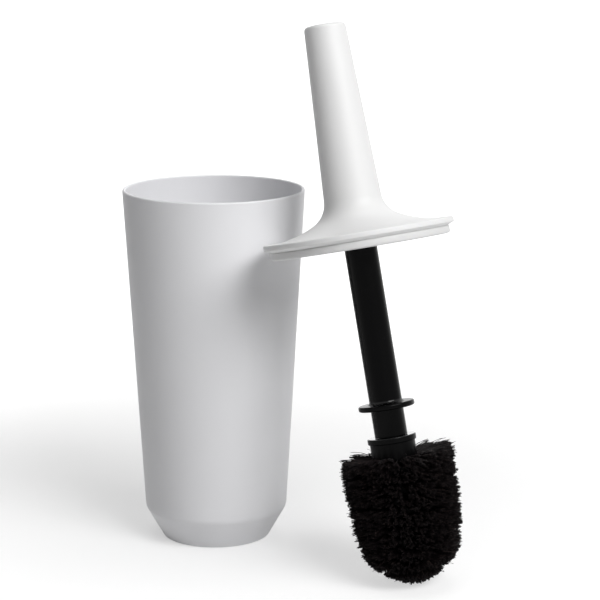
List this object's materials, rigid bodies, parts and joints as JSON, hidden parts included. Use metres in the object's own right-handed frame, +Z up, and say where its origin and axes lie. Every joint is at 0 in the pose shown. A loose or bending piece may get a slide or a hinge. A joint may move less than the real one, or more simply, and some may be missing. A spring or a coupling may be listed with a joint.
{
  "type": "toilet brush holder",
  "caption": "Free-standing tapered canister with its brush lifted out and leaning on it: a trumpet-shaped grip and lid in one, a stem with a drip disc, and a screw-on round bristle head.",
  "frame": {"origin": "centre of the canister's underside, on the floor", "axes": "+Z up along the canister's axis; +X to the side that the brush stands on, seen from the front; +Y to the back"},
  "size_m": [0.2346, 0.22, 0.3812],
  "materials": {
    "canister_grey": "matte, fine grain",
    "handle_white": "matte",
    "socket_white": "plain moulded",
    "stem_black": "satin",
    "bristle_black": "fine crimped filaments",
    "pad_rubber": "matte",
    "anchor_brass": "drawn wire"
  },
  "bodies": {
    "canister": {"canister_shell": "canister_grey", "foot_pad": "pad_rubber"},
    "brush": {"handle_shell": "handle_white", "lid_plug": "handle_white", "stem_socket": "socket_white", "stem": "stem_black"},
    "head": {"head_core": "stem_black", "tuft_row_1": "bristle_black", "tuft_row_2": "bristle_black", "tuft_row_3": "bristle_black", "tuft_row_4": "bristle_black", "tuft_row_5": "bristle_black", "tuft_row_6": "bristle_black", "tuft_row_7": "bristle_black", "tuft_row_8": "bristle_black", "tuft_row_9": "bristle_black", "tuft_row_10": "bristle_black", "tuft_row_11": "bristle_black", "tuft_row_12": "bristle_black", "tuft_row_13": "bristle_black", "tuft_anchors": "anchor_brass"}
  },
  "joints": [
    {"name": "brush_lift", "type": "slide", "parent": "canister", "child": "brush", "axis": [0.1085, -0.0872, 0.9903], "range_m": [0, 0.3]},
    {"name": "head_unscrew", "type": "hinge", "parent": "brush", "child": "head", "pos_m": [0.1203, -0.10595, 0.10181], "axis": [0.1551, -0.1722, -0.9728], "range_deg": [0, 900]}
  ]
}
